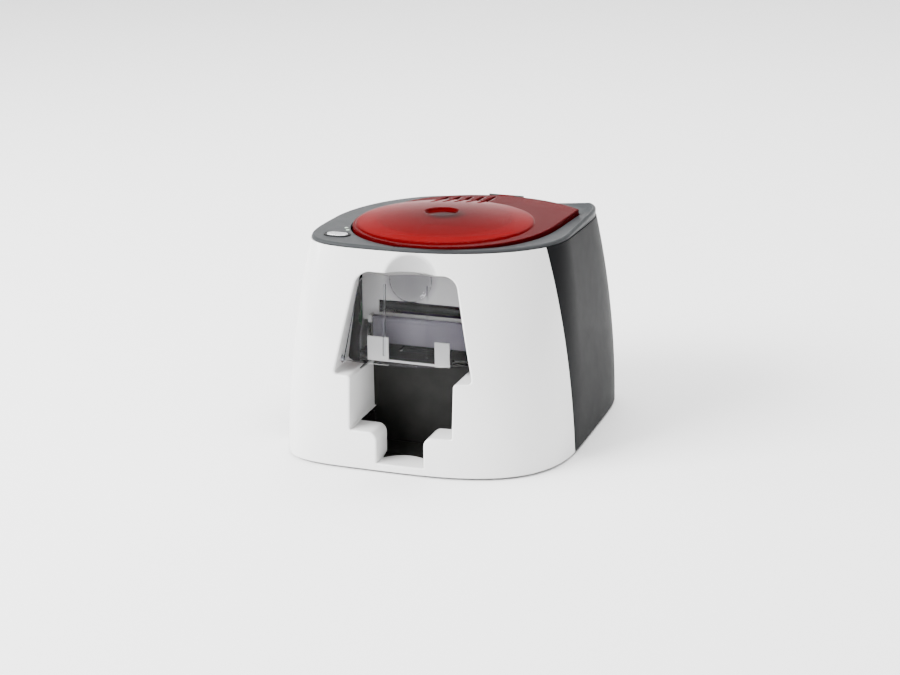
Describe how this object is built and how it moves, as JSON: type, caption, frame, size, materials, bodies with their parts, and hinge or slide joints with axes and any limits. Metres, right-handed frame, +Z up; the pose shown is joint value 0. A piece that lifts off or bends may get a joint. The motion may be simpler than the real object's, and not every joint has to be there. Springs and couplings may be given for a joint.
{
  "type": "id card printer",
  "caption": "Desktop card printer with a white and anthracite case, a red leaf shaped lid, a clear card feeder door and an open output hopper",
  "frame": {"origin": "middle of the footprint, on the plane that the rubber feet rest on", "axes": "X to the right as seen from the front, Y from the front to the back, Z up"},
  "size_m": [0.237, 0.25, 0.1904],
  "materials": {
    "white_gloss": "glossy white moulded shell",
    "anthracite": "fine satin grain, anthracite",
    "dark_plastic": "plain black moulding",
    "soft_rubber": "soft black rubber",
    "red_clear": "deep red see-through moulding",
    "red_dark": "dark red moulding",
    "bright_steel": "turned bright steel",
    "clear_plastic": "clear smoky moulding",
    "light_plastic": "light grey moulding",
    "grey_plastic": "grey violet moulding",
    "silver_plastic": "silver lacquered cap",
    "circuit_board": "green solder mask",
    "lamp_lens": "milky lamp lens",
    "sheet_steel": "zinc plated sheet",
    "bush_bronze": "sintered bronze",
    "roller_rubber": "ground black rubber",
    "blue_rubber": "tacky blue rubber",
    "motor_can": "grey motor can",
    "head_ceramic": "dark head body",
    "sink_aluminium": "extruded aluminium",
    "ribbon_violet": "wound dye ribbon"
  },
  "bodies": {
    "printer_case": {"front_cover": "white_gloss", "dish_cup": "white_gloss", "right_side_panel": "anthracite", "rear_cover": "anthracite", "left_side_panel": "anthracite", "top_bezel": "anthracite", "base_tray": "dark_plastic", "output_hopper": "dark_plastic", "button_ring": "dark_plastic", "hinge_bracket": "dark_plastic", "catch_guide": "dark_plastic", "rear_sockets": "dark_plastic", "cassette_frame": "dark_plastic", "rubber_feet": "soft_rubber", "transport_belt": "soft_rubber", "motor_belt": "soft_rubber", "lid_hinge_pin": "bright_steel", "flap_pin": "bright_steel", "cross_bars": "bright_steel", "chassis_screws": "bright_steel", "head_pivot": "bright_steel", "head_springs": "bright_steel", "feeder_lip": "light_plastic", "feeder_back": "light_plastic", "feeder_tray": "dark_plastic", "button_board": "circuit_board", "control_board": "circuit_board", "status_lamps": "lamp_lens", "chassis_left_plate": "sheet_steel", "chassis_right_plate": "sheet_steel", "roller_bushes": "bush_bronze", "main_motor": "motor_can", "ribbon_motor": "motor_can", "ribbon_film": "ribbon_violet"},
    "lid": {"lid_plate": "red_clear", "lid_hook": "red_clear", "lid_dome": "red_clear", "lid_inner_ring": "red_dark"},
    "lid_latch": {"lid_catch": "dark_plastic"},
    "feeder_door": {"feeder_cover": "clear_plastic", "feeder_cover_pins": "bright_steel"},
    "flap": {"card_flap": "grey_plastic"},
    "button": {"push_button": "silver_plastic"},
    "feed_drive": {"feed_roller": "roller_rubber", "feed_shaft": "bright_steel"},
    "front_drive": {"front_roller": "roller_rubber", "front_shaft": "bright_steel"},
    "platen": {"platen_roller": "roller_rubber", "platen_shaft": "bright_steel"},
    "rear_drive": {"rear_roller": "roller_rubber", "rear_shaft": "bright_steel"},
    "cleaner": {"cleaning_roller": "blue_rubber"},
    "front_pinch": {"front_pinch_roller": "bright_steel"},
    "rear_pinch": {"rear_pinch_roller": "bright_steel"},
    "motor_rotor": {"motor_shaft": "bright_steel"},
    "head": {"print_head": "head_ceramic", "heat_sink": "sink_aluminium", "head_arm": "sheet_steel"},
    "supply": {"supply_spool": "ribbon_violet"},
    "takeup": {"takeup_spool": "ribbon_violet"}
  },
  "joints": [
    {"name": "lid_hinge", "type": "hinge", "parent": "printer_case", "child": "lid", "pos_m": [0.016, 0.09302, 0.17875], "axis": [-1, 0, 0], "range_deg": [0, 75]},
    {"name": "feeder_door_hinge", "type": "hinge", "parent": "printer_case", "child": "feeder_door", "pos_m": [-0.004, -0.09678, 0.0875], "axis": [0.9895, 0.1444, 0], "range_deg": [0, 60]},
    {"name": "card_flap_hinge", "type": "hinge", "parent": "printer_case", "child": "flap", "pos_m": [-0.004, -0.07, 0.113], "axis": [-1, 0, 0], "range_deg": [0, 30], "stiffness_Nm_per_rad": 0.02},
    {"name": "button_travel", "type": "slide", "parent": "printer_case", "child": "button", "axis": [0, -0.036, -0.9994], "range_m": [0, 0.001], "stiffness_N_per_m": 300},
    {"name": "lid_latch_slide", "type": "slide", "parent": "printer_case", "child": "lid_latch", "axis": [0, 1, 0], "range_m": [-0.001, 0.0012], "stiffness_N_per_m": 200},
    {"name": "platen_spin", "type": "hinge", "parent": "printer_case", "child": "platen", "pos_m": [-0.004, 0.014, 0.08], "axis": [1, 0, 0], "continuous": true},
    {"name": "feed_spin", "type": "hinge", "parent": "printer_case", "child": "feed_drive", "pos_m": [-0.004, -0.06, 0.08], "axis": [1, 0, 0], "continuous": true},
    {"name": "front_drive_spin", "type": "hinge", "parent": "printer_case", "child": "front_drive", "pos_m": [-0.004, -0.028, 0.08], "axis": [1, 0, 0], "continuous": true},
    {"name": "rear_drive_spin", "type": "hinge", "parent": "printer_case", "child": "rear_drive", "pos_m": [-0.004, 0.058, 0.08], "axis": [1, 0, 0], "continuous": true},
    {"name": "motor_spin", "type": "hinge", "parent": "printer_case", "child": "motor_rotor", "pos_m": [-0.004, 0.034, 0.042], "axis": [1, 0, 0], "continuous": true},
    {"name": "front_pinch_spin", "type": "hinge", "parent": "printer_case", "child": "front_pinch", "pos_m": [-0.004, -0.028, 0.0908], "axis": [1, 0, 0], "continuous": true},
    {"name": "rear_pinch_spin", "type": "hinge", "parent": "printer_case", "child": "rear_pinch", "pos_m": [-0.004, 0.058, 0.0908], "axis": [1, 0, 0], "continuous": true},
    {"name": "cleaner_spin", "type": "hinge", "parent": "printer_case", "child": "cleaner", "pos_m": [-0.004, -0.0165, 0.0928], "axis": [1, 0, 0], "continuous": true},
    {"name": "takeup_spin", "type": "hinge", "parent": "printer_case", "child": "takeup", "pos_m": [-0.004, -0.038, 0.146], "axis": [1, 0, 0], "continuous": true},
    {"name": "supply_spin", "type": "hinge", "parent": "printer_case", "child": "supply", "pos_m": [-0.004, 0.048, 0.146], "axis": [1, 0, 0], "continuous": true},
    {"name": "head_lift", "type": "hinge", "parent": "printer_case", "child": "head", "pos_m": [-0.004, 0.062, 0.128], "axis": [-1, 0, 0], "range_deg": [0, 5]}
  ],
  "couplings": [
    {"joint": "feed_spin", "follows": "platen_spin", "ratio": 1},
    {"joint": "front_drive_spin", "follows": "platen_spin", "ratio": 1},
    {"joint": "rear_drive_spin", "follows": "platen_spin", "ratio": 1},
    {"joint": "motor_spin", "follows": "platen_spin", "ratio": 1},
    {"joint": "front_pinch_spin", "follows": "platen_spin", "ratio": -1.5},
    {"joint": "rear_pinch_spin", "follows": "platen_spin", "ratio": -1.5},
    {"joint": "cleaner_spin", "follows": "platen_spin", "ratio": -1},
    {"joint": "takeup_spin", "follows": "supply_spin", "ratio": 1.25}
  ]
}
